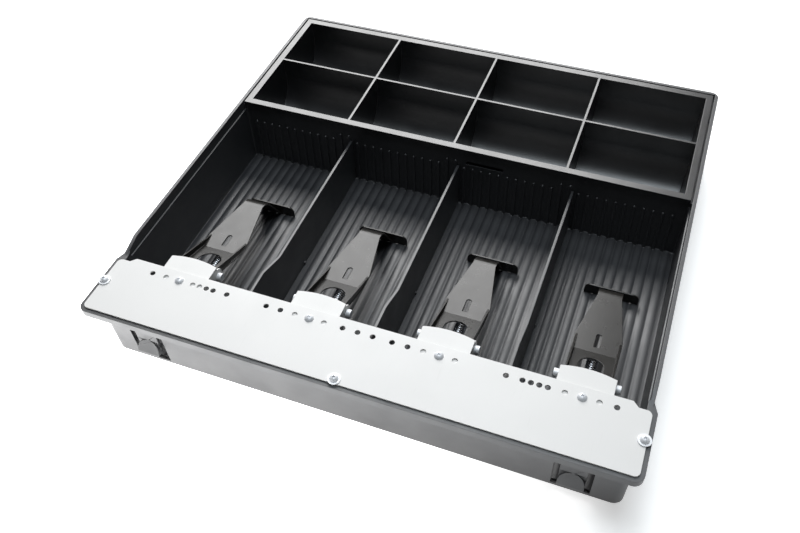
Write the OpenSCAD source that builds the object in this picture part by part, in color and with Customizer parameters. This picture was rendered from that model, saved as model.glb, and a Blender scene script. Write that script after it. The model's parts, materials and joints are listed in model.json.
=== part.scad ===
// Cash drawer insert: a moulded bill tray with a lift-out coin tray at the rear, three dividers,
// and four sprung bill clips that hinge below a steel cover plate at the front.
// Millimetres, +Z up. The origin is the middle of the underside and the front faces -Y.

/* [Tray] */
// Width over the rim
rim_w = 370; // [350:1:410]
// Length over all, from the front flange to the rear rim
overall_l = 362; // [345:0.5:420]
// Height over all
overall_h = 62; // [54:1:75]
// Thickness of the walls
wall_t = 2; // [1.6:0.1:2.6]
// Thickness of the floor
floor_t = 3.5; // [2:0.1:4]
// Width of the rim's flat top
rim_band = 2.7; // [2.4:0.1:5]
// Height of the rim's outer skirt
rim_skirt = 8; // [7:0.5:12]
// Radius of the rim's rear corners
rim_corner_r = 6; // [3:0.5:10]
// Drop from the rim to the ledge that carries the coin tray
ledge_drop = 4.3; // [3:0.1:5.5]
// Drop from the rim to the ledge beside the bill area
bill_ledge_drop = 8.6; // [5:0.1:10]
// Width of the ledge beside the bill area
ledge_w = 0.9; // [0.6:0.1:2.4]
// Lean of the side and rear walls over their height
side_draft = 0.5; // [0.3:0.1:4]
// Lean of the front wall over its height
front_draft = 2; // [1:0.1:3]
// Outside radius of the upright corners at the front
front_corner_r = 7; // [4:0.5:20]
// Outside radius of the upright corners at the rear
rear_corner_r = 5; // [3:0.5:6]
// Radius of the hollows' corners at the partition and below the coin tray
inner_corner_r = 1.6; // [1:0.1:2]

/* [Front flange] */
// Step of the flange beyond the rim, each side
flange_step = 3.2; // [1:0.1:4]
// Length of the flange at its full width
flange_l = 48.1; // [44:0.1:52]
// Length of the chamfer from the rim to the flange
flange_chamfer = 7.5; // [4:0.5:10]
// Drop from the rim to the flange
flange_drop = 5.5; // [4.5:0.1:7]
// Thickness of the flange
flange_t = 5.6; // [4:0.1:6.4]
// Overhang of the flange in front of the front wall
flange_lip = 10.9; // [7:0.1:14]
// Radius of the flange's front corners
flange_corner_r = 6; // [3:0.5:9]
// Length of the ramp from the rim down to the flange
ramp_l = 16.5; // [10:0.5:20]

/* [Ribs and partition] */
// Pitch of the ribs on the floor and on the partition
rib_pitch = 7.04; // [6.4:0.01:8]
// Shift of the row of ribs from the tray's middle
rib_shift = -0.7; // [-2:0.1:2]
// Width of a partition rib
rib_w = 2.2; // [1.5:0.1:2.6]
// Width of a floor rib, which leaves a narrow groove to the next
floor_rib_w = 6.4; // [4:0.1:6.8]
// Height of the floor ribs
floor_rib_h = 0.7; // [0.4:0.1:2]
// Depth of the partition ribs
wall_rib_h = 1.3; // [0.6:0.1:2]
// Drop from the rim to the top of a partition rib
wall_rib_drop = 18.8; // [15:0.1:24]
// Drop from the rim to the top of the taller ribs that mark a divider's home place
tall_rib_drop = 12.8; // [10:0.1:14]
// Radius of the fillet at the partition's foot
foot_fillet_r = 1.5; // [0.8:0.1:2.5]
// Thickness of the partition between the bills and the coins
partition_t = 1.8; // [1.4:0.1:2]
// Width of the slot through the partition
slot_w = 29.7; // [15:0.1:35]
// Height of the slot through the partition
slot_h = 3; // [2:0.1:4]
// Drop from the rim to the middle of the slot
slot_drop = 14.1; // [11:0.1:16]
// Place of the slot's middle across the tray
slot_x = 26.3; // [20:0.05:32]

/* [Coin tray] */
// Length of the coin tray from front to rear
coin_l = 128.3; // [110:0.1:140]
// Overhang of the coin tray in front of the partition
coin_overhang = 1.4; // [0.2:0.1:1.9]
// Width of the coin tray's rim at the sides
coin_rim_side = 5.2; // [3.5:0.01:6]
// Width of the coin tray's rim at the front and rear
coin_rim_end = 5.7; // [5.2:0.01:7]
// Wall of the cups
cup_t = 1.6; // [1.2:0.1:1.8]
// Thickness of the walls between cups
cup_gap_t = 2; // [1.4:0.1:3]
// Depth of the cups
cup_depth = 44; // [36:0.5:48]
// Lean of the outer cup sides over their depth
cup_draft = 2.2; // [1.8:0.1:3]
// Number of cups in a row
cup_n = 4; // [3:1:5]
// Width of the ledge that carries the coin tray
coin_ledge_w = 2.4; // [2:0.1:2.8]

/* [Dividers] */
// Thickness of a divider
divider_t = 2; // [1.4:0.1:2.6]
// Play that lets a divider lie at the left side of its place between two ribs
divider_play = 1.2; // [0:0.1:1.3]
// Diameter of the pip at the foot of a divider
pip_d = 2; // [1:0.1:2.6]
// Height of the pip at the foot of a divider
pip_h = 3; // [2:0.1:5]
// Distance from the partition to a divider's pip
pip_back = 104; // [80:1:130]
// Drop from the rim to the low rear part of a divider
divider_drop = 17.7; // [11:0.1:24]
// Drop from the rim to the high front part of a divider
divider_high_drop = 9.5; // [6:0.1:11]
// Length of the high front part, from the plate's rear edge to the top of the slope
divider_high_l = 21.7; // [12:0.1:24]
// Length of the slope on a divider's top
divider_slope_l = 23; // [10:0.5:40]
// Number of rib pitches between dividers
divider_step = 13; // [12:1:14]

/* [Cover plate] */
// Thickness of the plate
plate_t = 1.2; // [0.8:0.1:1.4]
// Length of the plate from front to rear
plate_l = 48.8; // [47:0.05:52]
// Gap from the flange's side edge to the plate
plate_side_inset = 3; // [2:0.1:4]
// Gap from the flange's front edge to the plate
plate_front_inset = 2.85; // [2:0.05:4]
// Set-back of the plate's rear edge at its ends
plate_step = 3.6; // [2:0.1:5]
// Width of each set-back end
plate_end_w = 8.5; // [7:0.1:12]
// Radius of the plate's corners
plate_corner_r = 3.5; // [1:0.1:4]
// Distance from the plate's rear edge to the row of bracket holes
hole_row_inset = 7.9; // [6:0.1:9]
// Diameter of the bracket holes
hole_d = 3.7; // [3.4:0.1:4.2]
// Pitch of the bracket holes
hole_pitch = 10.5; // [9.5:0.05:11]
// Place of the middle of the row of holes across the plate
row_x = -2.3; // [-6:0.1:6]
// Distance from the middle of the row to the middle of the inner groups of holes
inner_group_x = 44.8; // [42:0.1:47]
// Distance from the plate's right end to its last hole
right_hole_inset = 20.5; // [18:0.1:26]
// Distance from the plate's left end to its last hole
left_hole_inset = 29.7; // [24:0.1:32]

/* [Screws] */
// Shank diameter of the screws
screw_d = 3; // [2.5:0.1:3.2]
// Head diameter of the bracket screws
bracket_head_d = 6.4; // [5.5:0.1:7]
// Head diameter of the plate screws
plate_head_d = 6; // [5.5:0.1:7]
// Height of the screw heads
head_h = 2.2; // [1.8:0.1:2.6]
// Washer diameter
washer_d = 8.4; // [7.5:0.1:8.5]
// Washer thickness
washer_t = 0.8; // [0.5:0.1:1]
// Distance of the side plate screws inside the plate's ends
plate_screw_inset = 1.5; // [1.3:0.1:2]
// Distance of the middle plate screw inside the plate's front edge
front_screw_inset = 2.9; // [1.3:0.1:5]
// Distance of the side plate screws behind the plate's front edge
side_screw_y = 24.3; // [16:0.1:28]
// Length of the screw shanks below the head
shank_l = 6.5; // [5:0.1:8]
// Width of the cross recess arms
recess_w = 0.8; // [0.6:0.05:1.1]
// Length of the cross recess
recess_l = 3.4; // [2.8:0.1:4]
// Depth of the cross recess
recess_depth = 1.2; // [0.8:0.1:1.5]
// Turn of the bracket screws' cross recess
bracket_screw_turn = 30; // [0:5:85]
// Turn of the plate screws' cross recess
plate_screw_turn = 15; // [0:5:85]

/* [Clip brackets] */
// Width of a bracket
bracket_w = 35.6; // [34.6:0.1:40]
// Sheet thickness of the brackets
bracket_t = 1.2; // [1:0.1:1.5]
// Overhang of a bracket behind the plate's rear edge
bracket_overhang = 12; // [11.5:0.1:13.5]
// Bulge of the bracket's rear edge
bracket_bulge = 2.4; // [0:0.1:3]
// Distance from the screw to the bracket's spring leg
leg_y = 8.5; // [6:0.1:10]
// Width of the spring leg
leg_w = 9; // [6:0.1:14]
// Drop from the rim to the spring's hole in the leg
leg_hole_drop = 34; // [28:0.1:38]
// Metal below the spring's hole in the leg
leg_edge = 3; // [2:0.1:5]
// Outer radius of the ears round the hinge pin
ear_r = 5.6; // [4.5:0.1:6]
// Radius of the ears' rear corner
ear_corner_r = 4.2; // [3.5:0.1:4.6]
// Length of the ears in front of the hinge pin
ear_l = 12; // [8:0.1:16]

/* [Hinge pins] */
// Diameter of a pin
pin_d = 4; // [3:0.1:4.6]
// Diameter of the pin's ends
pin_head_d = 5.6; // [5:0.1:7]
// Length of the pin's ends outside the ears
pin_head_l = 3.4; // [1.5:0.1:4]
// Drop from the rim to the pin
pin_drop = 13.7; // [12.7:0.1:15]
// Distance from the plate's rear edge back to the pin
pin_back = 11; // [10:0.1:12]
// Radial clearance of the pin in its holes
pin_clear = 0.05; // [0.02:0.01:0.1]

/* [Bill clips] */
// Sheet thickness of the clips
clip_t = 1.2; // [0.8:0.1:1.5]
// Width of a clip at the hinge
clip_hinge_w = 30.5; // [28:0.1:32]
// Width of a clip at its shoulders
shoulder_w = 32; // [30:0.1:36]
// Width of a clip at its tip
tip_w = 17; // [14:0.1:24]
// Reach from the pin to the crease in the web
crease_reach = 31.1; // [28:0.1:33]
// Drop of the web from the pin to the crease
crease_drop = 12; // [10:0.1:13]
// Reach from the pin to the shoulders
shoulder_reach = 43.4; // [40:0.1:52]
// Reach from the pin to the tip's bend
tip_reach = 89.2; // [84:0.1:94]
// Drop from the pin to the tip's bend
tip_drop = 14; // [12:0.1:18]
// Radius of the tip's bend
tip_bend_r = 13; // [8:0.5:15]
// Reach from the pin to the foot
foot_reach = 108.8; // [99:0.1:112]
// Width of the T-shaped foot
foot_w = 40; // [28:0.5:44]
// Height of the foot
foot_h = 9.4; // [7.2:0.1:10]
// Radius of the foot's upper corners
foot_r = 5; // [2:0.1:6.5]
// Radius of the flanges round the pin
boss_r = 4.5; // [3.6:0.1:4.8]
// Width of the arch in the web
arch_w = 16.5; // [10:0.1:18]
// Reach from the pin to the top of the arch
arch_reach = 24.8; // [20:0.1:26]
// Width of the slot in the arm
clip_slot_w = 3.6; // [3:0.1:5]
// Length of the slot, and of the tongue that is bent down from it
tongue_l = 11.5; // [9:0.1:14]
// Reach from the pin to the slot
slot_reach = 35.9; // [34:0.1:39]
// Distance from the arm down to the spring's hole in the tongue
tongue_hole_drop = 5.5; // [4:0.1:7]

/* [Clip springs] */
// Outside diameter of a spring
spring_d = 8; // [6:0.1:9]
// Wire diameter
wire_d = 1.1; // [0.8:0.05:1.2]
// Number of curls
curls = 16; // [10:1:18]
// Pitch of the curls
curl_pitch = 1.72; // [1.7:0.01:1.9]
// Gap from the clip's tongue to the first curl
spring_lead = 3; // [2.5:0.1:5]

/* [Snap tongues] */
// Distance from the rim's side to the middle of a snap tongue
snap_inset = 35; // [30:1:55]
// Width of a snap tongue
snap_w = 17; // [12:0.5:20]
// Width of the slits beside a snap tongue
snap_slit = 4; // [2:0.1:5]
// Height of the top of a snap tongue
snap_h = 32; // [24:0.5:34]
// Height of the sill below a snap tongue's window
snap_sill = 3; // [1:0.1:4]
// Height of the lower end of a snap tongue
snap_low = 12; // [10:0.1:14]
// Gap at the root of a snap tongue
snap_seam = 0.1; // [0.05:0.05:0.3]
// Slope of a snap tongue's upper end, which lets it bend inwards, in degrees
snap_relief = 12; // [11:1:20]
// Reach of the snap tongue's hook in front of the wall
snap_hook = 5; // [2:0.1:7]
// Height of the hook's flat front
snap_flat_h = 13; // [12.5:0.1:15]
// Height of the top of the hook's ramp
snap_ramp_h = 23; // [20:0.1:27]

/* [Fits] */
// Gap round the coin tray's rim
coin_gap = 1.2; // [0.4:0.01:1.4]
// Gap between pieces that move past each other
run_gap = 0.3; // [0.2:0.05:0.4]
// Play of a screw or wire in its hole, on the radius
hole_play = 0.3; // [0.1:0.05:0.3]
// Play of a screw in the hole that grips it, on the radius
grip_play = 0.05; // [0.02:0.01:0.1]

/* [Hidden] */
$fn = 48;
cut = 1;
sink = 0.5;
hull_fn = 32;
disc_h = 0.01;
bulge_step = 1 / 8;

// Levels
z_rim = overall_h;
z_ledge = z_rim - ledge_drop;
z_flange = z_rim - flange_drop;
z_plate = z_flange + plate_t;
z_pin = z_rim - pin_drop;

// Places from front to rear
y_front = -overall_l / 2;
y_rear = overall_l / 2;
y_plate_front = y_front + plate_front_inset;
y_plate_rear = y_plate_front + plate_l;
y_row = y_plate_rear - hole_row_inset;
y_pin = y_plate_rear + pin_back;
y_leg = y_row - leg_y;
y_wall_top = y_front + flange_lip;
y_wall_bottom = y_wall_top + front_draft;
y_ledge = y_front + flange_l + flange_chamfer;
y_wall_rear = y_rear - rim_band + wall_t - ledge_w;
y_coin_rear = y_rear - rim_band - coin_gap;
y_coin_front = y_coin_rear - coin_l;
y_partition = y_coin_front + coin_overhang;

// Half widths
recess_x = rim_w / 2 - rim_band;
bill_x = recess_x - ledge_w;
coin_cavity_x = recess_x - coin_ledge_w;
outer_x = bill_x + wall_t;
flange_x = rim_w / 2 + flange_step;
plate_x = flange_x - plate_side_inset;
coin_x = recess_x - coin_gap;
cup_x = coin_x - coin_rim_side;
cup_pitch = (coin_x + cup_x) / cup_n;
snap_x = rim_w / 2 - snap_inset;

// Partition ribs sit evenly about their middle, as many as the floor takes
rib_half = floor((bill_x - side_draft - rib_w / 2 - abs(rib_shift)) / rib_pitch + 0.5);
rib_places = [for (k = [-rib_half : rib_half - 1]) rib_shift + (k + 0.5) * rib_pitch];
rib_end = rib_places[len(rib_places) - 1] + rib_w;
divider_x = [for (i = [-1 : 1]) rib_shift + (i * divider_step + 1) * rib_pitch];

// Floor ribs lie between the lines of the partition ribs, and leave out the dividers' places
crown_r = (pow(floor_rib_w / 2, 2) + pow(floor_rib_h, 2)) / (2 * floor_rib_h);
floor_rib_half = floor((bill_x - side_draft - floor_rib_w / 2 - abs(rib_shift)) / rib_pitch);
floor_rib_places = [for (k = [-floor_rib_half : floor_rib_half])
    let (x = rib_shift + k * rib_pitch) if (min([for (d = divider_x) abs(x - d)]) > rib_pitch / 2) x];

// Bracket holes in the plate, in five groups
left_steps = [0, 1, 2, 3, 3.5, 4, 4.5, 5.5];
right_steps = [0, 1, 2, 3, 4, 4.5, 5, 5.5, 6.5];
left_holes = [for (s = left_steps) -plate_x + left_hole_inset + s * hole_pitch];
right_holes = [for (s = right_steps) plate_x - right_hole_inset - s * hole_pitch];
inner_holes = [for (side = [-1, 1], s = [-2 : 2]) row_x + side * inner_group_x + s * hole_pitch];
middle_holes = [for (s = [-1 : 1]) row_x + s * hole_pitch];
plate_holes = concat(left_holes, inner_holes, middle_holes, right_holes);
clip_x = [
    -plate_x + left_hole_inset + 2 * hole_pitch,
    row_x - inner_group_x + hole_pitch,
    row_x + inner_group_x + hole_pitch,
    plate_x - right_hole_inset - 2 * hole_pitch
];
plate_screw_xy = [
    [-plate_x + plate_screw_inset, y_plate_front + side_screw_y],
    [row_x, y_plate_front + front_screw_inset],
    [plate_x - plate_screw_inset, y_plate_front + side_screw_y]
];

// The clip's side view from its pin: web, arm, neck and foot
z_foot = floor_t + floor_rib_h + run_gap - z_pin;
web_start = [boss_r, -boss_r * crease_drop / crease_reach - clip_t];
crease = [crease_reach, -crease_drop];
tip = [tip_reach, -tip_drop];
foot = [foot_reach - clip_t, z_foot + clip_t / 2];
arm_angle = atan2(tip.y - crease.y, tip.x - crease.x);
neck_angle = atan2(foot.y - tip.y, foot.x - tip.x);
bend_run = tip_bend_r * tan((arm_angle - neck_angle) / 2);
bend_start = tip - bend_run * [cos(arm_angle), sin(arm_angle)];
bend_centre = bend_start + tip_bend_r * [sin(arm_angle), -cos(arm_angle)];
bend_steps = 8;
bend_points = [
    for (i = [0 : bend_steps])
        let (a = 90 + arm_angle + (neck_angle - arm_angle) * i / bend_steps)
        bend_centre + tip_bend_r * [cos(a), sin(a)]
];
arm_path = concat([web_start, crease], bend_points, [foot]);

// Spring ends: the hole in the clip's tongue and the hole in the bracket's leg
tongue_edge = clip_slot_w / 2;
tongue_y = slot_reach - clip_t / 2;
tongue_top = crease.y + (slot_reach - crease.x) * tan(arm_angle);
tongue_hole = [y_pin + tongue_y, z_pin + tongue_top - tongue_hole_drop];
leg_hole = [y_leg, z_rim - leg_hole_drop];
leg_end = leg_hole.y - leg_edge;
spring_span = norm(tongue_hole - leg_hole);
spring_angle = atan2(tongue_hole.y - leg_hole.y, tongue_hole.x - leg_hole.x);
coil_r = (spring_d - wire_d) / 2;
curl_rings = 8;
wire_sides = 6;
half_turn = curl_rings / 2;
wire_end = 2 * wire_d;

black = [0.06, 0.06, 0.07];
white = [0.93, 0.93, 0.91];
steel = [0.72, 0.73, 0.75];

// Points of an arc, for a round corner of an outline
function arc(centre, r, from, to, steps = 6) =
    [for (i = [0 : steps]) let (a = from + (to - from) * i / steps) centre + r * [cos(a), sin(a)]];

// One rib's outline with a round top
function rib_points(x, base, top) = concat(
    [[x - rib_w / 2, base]],
    arc([x, top - rib_w / 2], rib_w / 2, 180, 0),
    [[x + rib_w / 2, base]]
);

// One floor rib's outline, a low arc
function crown_points(x) = let (half = asin(floor_rib_w / 2 / crown_r))
    arc([x, floor_t + floor_rib_h - crown_r], crown_r, 90 + half, 90 - half);

// True for the two ribs at a divider's home place
function is_tall(x) = len([for (d = divider_x) if (abs(x - d + rib_pitch) < rib_pitch) 1]) > 0;

// A side view in Y and Z, pulled out along X by w about the middle
module side_view(w) {
    translate([-w / 2, 0, 0]) rotate([90, 0, 90]) linear_extrude(w) children();
}

// A front view in X and Z, pulled out from y0 by w towards the rear
module front_view(y0, w) {
    translate([0, y0 + w, 0]) rotate([90, 0, 0]) linear_extrude(w) children();
}

// Strip of sheet along a bent path, with round joints
module strip(path, t) {
    for (i = [0 : len(path) - 2]) {
        run = path[i + 1] - path[i];
        translate(path[i]) rotate(atan2(run.y, run.x)) translate([0, -t / 2]) square([norm(run), t]);
        if (i > 0) translate(path[i]) circle(d = t);
    }
}

// Discs at the corners of the rectangle from -x to x and y0 to y1
module corner_discs(x, y0, y1, z, r) {
    for (px = [-x + r, x - r], py = [y0 + r, y1 - r])
        translate([px, py, z]) cylinder(r = r, h = disc_h, $fn = hull_fn);
}

// Tray with leaning walls, without its hollows
module tray_shell() {
    hull() {
        corner_discs(outer_x - side_draft, y_wall_bottom, y_pin, 0, front_corner_r);
        corner_discs(outer_x, y_wall_top, y_pin, z_flange - disc_h, front_corner_r);
        corner_discs(outer_x - side_draft, y_pin, y_wall_rear - side_draft, 0, rear_corner_r);
        corner_discs(outer_x, y_pin, y_wall_rear, z_flange - disc_h, rear_corner_r);
    }
}

module bill_hollow() {
    hull() {
        corner_discs(bill_x - side_draft, y_wall_bottom + wall_t, y_pin, floor_t, front_corner_r - wall_t);
        corner_discs(bill_x, y_wall_top + wall_t, y_pin, z_ledge + cut, front_corner_r - wall_t);
        corner_discs(bill_x - side_draft, y_pin, y_partition, floor_t, inner_corner_r);
        corner_discs(bill_x, y_pin, y_partition, z_ledge + cut, inner_corner_r);
    }
}

module coin_hollow() {
    y0 = y_partition + partition_t;
    y1 = y_rear - rim_band - coin_ledge_w;
    hull() {
        corner_discs(coin_cavity_x - side_draft, y0, y1 - side_draft, floor_t, inner_corner_r);
        corner_discs(coin_cavity_x, y0, y1, z_ledge + cut, inner_corner_r);
    }
}

module rim_outline() {
    x = rim_w / 2;
    polygon(concat(
        [[-x, y_front + flange_l], [x, y_front + flange_l]],
        arc([x - rim_corner_r, y_rear - rim_corner_r], rim_corner_r, 0, 90),
        arc([-x + rim_corner_r, y_rear - rim_corner_r], rim_corner_r, 90, 180)
    ));
}

module flange_outline() {
    y_full = y_front + flange_l;
    polygon(concat(
        arc([-flange_x + flange_corner_r, y_front + flange_corner_r], flange_corner_r, 180, 270),
        arc([flange_x - flange_corner_r, y_front + flange_corner_r], flange_corner_r, 270, 360),
        [[flange_x, y_full], [rim_w / 2, y_full + flange_chamfer]],
        [[-rim_w / 2, y_full + flange_chamfer], [-flange_x, y_full]]
    ));
}

// Room above the ledges and above the flange, with the ramps between rim and flange
module upper_room() {
    translate([-recess_x, y_front - cut, z_ledge])
        cube([2 * recess_x, overall_l - rim_band + cut, ledge_drop + cut]);
    translate([-recess_x, y_ledge, z_rim - bill_ledge_drop])
        cube([2 * recess_x, y_partition - y_ledge, bill_ledge_drop + cut]);
    side_view(2 * (flange_x + cut)) polygon([
        [y_plate_rear + ramp_l, z_rim], [y_plate_rear, z_flange], [y_front - cut, z_flange],
        [y_front - cut, z_rim + cut], [y_plate_rear + ramp_l, z_rim + cut]
    ]);
}

module floor_ribs() {
    y0 = y_wall_bottom + wall_t - sink;
    front_view(y0, y_partition + sink - y0) polygon(concat(
        [[floor_rib_places[0] - floor_rib_w / 2, floor_t - sink]],
        [for (x = floor_rib_places) each crown_points(x)],
        [[floor_rib_places[len(floor_rib_places) - 1] + floor_rib_w / 2, floor_t - sink]]
    ));
}

module partition_ribs() {
    front_view(y_partition - wall_rib_h, wall_rib_h + sink) polygon(concat(
        [[rib_places[0] - rib_w, floor_t - sink]],
        [for (x = rib_places) each
            rib_points(x, floor_t, z_rim - (is_tall(x) ? tall_rib_drop : wall_rib_drop))],
        [[rib_end, floor_t - sink]]
    ));
}

// Fillet between the floor and the partition
module partition_fillet() {
    corner = [y_partition - foot_fillet_r, floor_t + foot_fillet_r];
    side_view(2 * (bill_x - side_draft)) polygon(concat(
        [[corner.x, floor_t - sink]], arc(corner, foot_fillet_r, 270, 360),
        [[y_partition + sink, corner.y], [y_partition + sink, floor_t - sink]]
    ));
}

module snap_windows() {
    for (side = [-1, 1])
        translate([side * snap_x - snap_w / 2 - snap_slit, y_wall_top - cut, snap_sill])
            cube([snap_w + 2 * snap_slit, front_draft + wall_t + cut, snap_h - snap_sill]);
}

module tray_body() {
    color(black) union() {
        difference() {
            union() {
                tray_shell();
                translate([0, 0, z_rim - rim_skirt]) linear_extrude(rim_skirt) rim_outline();
                translate([0, 0, z_flange - flange_t]) linear_extrude(flange_t) flange_outline();
            }
            bill_hollow();
            coin_hollow();
            upper_room();
            snap_windows();
            translate([slot_x - slot_w / 2, y_partition - cut, z_rim - slot_drop - slot_h / 2])
                cube([slot_w, partition_t + 2 * cut, slot_h]);
            for (p = plate_screw_xy)
                translate([p.x, p.y, z_flange - flange_t - cut])
                    cylinder(d = screw_d + 2 * grip_play, h = flange_t + 2 * cut);
        }
        difference() {
            intersection() {
                floor_ribs();
                tray_shell();
            }
            snap_windows();
        }
        partition_ribs();
        partition_fillet();
    }
}

// Cross-section of a row of cups, grown by t
module cup_section(y_mid, half, t) {
    z_round = z_rim - cup_depth + half;
    translate([y_mid, z_round]) circle(half + t);
    translate([y_mid - half - t, z_round]) square([2 * (half + t), z_rim - z_round + 2 * cut]);
}

// Ends of the cup rows, leaning in towards the bottom, grown by t
module cup_ends(t) {
    z_low = z_rim - cup_depth - t - cut;
    z_high = z_rim + (t > 0 ? -cut : cut);
    front_view(y_coin_front - cut, coin_l + 2 * cut) polygon([
        [-cup_x - t + cup_draft, z_low], [cup_x + t - cup_draft, z_low],
        [cup_x + t, z_ledge], [cup_x + t, z_high], [-cup_x - t, z_high], [-cup_x - t, z_ledge]
    ]);
}

module cup_rows(t) {
    half = (coin_l - 2 * coin_rim_end - cup_gap_t) / 4;
    y_mid = y_coin_front + coin_l / 2;
    for (row = [-1, 1])
        intersection() {
            side_view(2 * coin_x) cup_section(y_mid + row * (half + cup_gap_t / 2), half, t);
            cup_ends(t);
        }
}

module coin_tray() {
    color(black) difference() {
        union() {
            translate([-coin_x, y_coin_front, z_ledge + run_gap])
                cube([2 * coin_x, coin_l, ledge_drop - run_gap]);
            cup_rows(cup_t);
        }
        difference() {
            cup_rows(0);
            for (i = [1 : cup_n - 1])
                translate([(i - cup_n / 2) * cup_pitch - cup_gap_t / 2, y_coin_front, 0])
                    cube([cup_gap_t, coin_l, z_rim]);
        }
    }
}

module divider(x) {
    y0 = y_wall_bottom + wall_t + run_gap;
    y1 = y_partition - run_gap;
    y_high = y_plate_rear + divider_high_l;
    z_low = z_rim - divider_drop;
    z_high = z_rim - divider_high_drop;
    color(black) translate([x - divider_play, 0, 0]) {
        side_view(divider_t) polygon([
            [y0, floor_t], [y1 - foot_fillet_r, floor_t], [y1, floor_t + foot_fillet_r], [y1, z_low],
            [y_high + divider_slope_l, z_low],
            [y_high, z_high], [y0, z_high]
        ]);
        translate([divider_t / 2, y_partition - pip_back, floor_t]) cylinder(d = pip_d, h = pip_h);
    }
}

module plate_outline() {
    r = plate_corner_r;
    y_end = y_plate_rear - plate_step;
    x_step = plate_x - plate_end_w;
    polygon(concat(
        arc([-plate_x + r, y_plate_front + r], r, 180, 270),
        arc([plate_x - r, y_plate_front + r], r, 270, 360),
        arc([plate_x - r, y_end - r], r, 0, 90),
        [[x_step, y_end], [x_step - plate_step, y_plate_rear]],
        [[-x_step + plate_step, y_plate_rear], [-x_step, y_end]],
        arc([-plate_x + r, y_end - r], r, 90, 180)
    ));
}

module cover_plate() {
    color(white) translate([0, 0, z_flange]) linear_extrude(plate_t) difference() {
        plate_outline();
        for (x = plate_holes) translate([x, y_row]) circle(d = hole_d);
        for (p = plate_screw_xy) translate(p) circle(d = screw_d + 2 * hole_play);
    }
}

// One ear's side view, with the hole for the pin
module ear_section() {
    y_edge = y_plate_rear + bracket_overhang;
    difference() {
        union() {
            translate([y_pin, z_pin]) circle(ear_r);
            translate([y_pin - ear_l, z_pin - ear_r]) square([ear_l, ear_r + z_flange - z_pin]);
            translate([y_pin, z_pin]) square([y_edge - y_pin, z_flange - z_pin]);
            translate([y_edge - ear_r / 2, z_flange - ear_r]) circle(ear_corner_r);
        }
        translate([y_pin, z_pin]) circle(d = pin_d + 2 * pin_clear);
        translate([y_pin - ear_l - cut, z_flange]) square([2 * (ear_l + ear_r), ear_r]);
    }
}

module bracket_top() {
    half = bracket_w / 2;
    y_edge = y_plate_rear + bracket_overhang;
    rear_edge = [for (s = [1 : -bulge_step : -1]) [s * half, y_edge + bracket_bulge * (1 - s * s)]];
    difference() {
        polygon(concat([[-half, y_leg - bracket_t / 2], [half, y_leg - bracket_t / 2]], rear_edge));
        translate([0, y_row]) circle(d = screw_d + 2 * grip_play);
    }
}

module clip_bracket(x) {
    color(white) translate([x, 0, 0]) {
        translate([0, 0, z_flange - bracket_t]) linear_extrude(bracket_t) bracket_top();
        for (side = [-1, 1])
            translate([side * (bracket_w - bracket_t) / 2, 0, 0]) side_view(bracket_t) ear_section();
        difference() {
            front_view(y_leg - bracket_t / 2, bracket_t)
                translate([-leg_w / 2, leg_end]) square([leg_w, z_flange - leg_end - sink]);
            translate([0, leg_hole.x - bracket_t, leg_hole.y]) rotate([-90, 0, 0])
                cylinder(d = wire_d + 2 * hole_play, h = 2 * bracket_t);
        }
    }
}

module hinge_pin(x) {
    l = bracket_w;
    color(steel) translate([x, y_pin, z_pin]) rotate([0, 90, 0]) {
        cylinder(d = pin_d, h = l, center = true);
        for (side = [-1, 1])
            translate([0, 0, side * (l + pin_head_l) / 2])
                cylinder(d = pin_head_d, h = pin_head_l, center = true);
    }
}

// The clip's plan from its pin: hinge, shoulders, tip and neck
module clip_plan() {
    polygon([
        [-clip_hinge_w / 2, web_start.x - clip_t], [clip_hinge_w / 2, web_start.x - clip_t],
        [shoulder_w / 2, shoulder_reach], [tip_w / 2, bend_start.x], [tip_w / 2, foot_reach],
        [-tip_w / 2, foot_reach], [-tip_w / 2, bend_start.x], [-shoulder_w / 2, shoulder_reach]
    ]);
}

module clip_cuts() {
    translate([0, arch_reach - arch_w / 2]) circle(d = arch_w);
    translate([-arch_w / 2, -cut]) square([arch_w, arch_reach - arch_w / 2 + cut]);
    translate([-clip_slot_w / 2, slot_reach]) square([clip_slot_w, tongue_l - clip_slot_w / 2]);
    translate([0, slot_reach + tongue_l - clip_slot_w / 2]) circle(d = clip_slot_w);
}

// The T-shaped foot about the middle of its lower edge, round at the upper corners
module foot_outline() {
    corner = [foot_w / 2 - foot_r, foot_h - foot_r];
    polygon(concat(
        [[foot_w / 2, 0]], arc(corner, foot_r, 0, 90),
        arc([-corner.x, corner.y], foot_r, 90, 180), [[-foot_w / 2, 0]]
    ));
}

// Upright flange at the side of the web, with the hole for the pin
module clip_flange() {
    shoulder_z = crease.y + (shoulder_reach - crease.x) * tan(arm_angle);
    difference() {
        union() {
            circle(boss_r);
            polygon([
                [0, boss_r], [shoulder_reach, shoulder_z + clip_t / 2], [shoulder_reach, shoulder_z],
                crease, web_start, [0, -boss_r]
            ]);
        }
        circle(d = pin_d + 2 * pin_clear);
    }
}

module clip_tongue() {
    translate([0, tongue_y - clip_t / 2, 0]) difference() {
        front_view(0, clip_t) {
            translate([-tongue_edge, tongue_top - tongue_l + tongue_edge])
                square([clip_slot_w, tongue_l - tongue_edge]);
            translate([0, tongue_top - tongue_l + tongue_edge]) circle(tongue_edge);
        }
        translate([0, -clip_t, tongue_hole.y - z_pin]) rotate([-90, 0, 0])
            cylinder(d = wire_d + 2 * hole_play, h = 3 * clip_t);
    }
}

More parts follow.
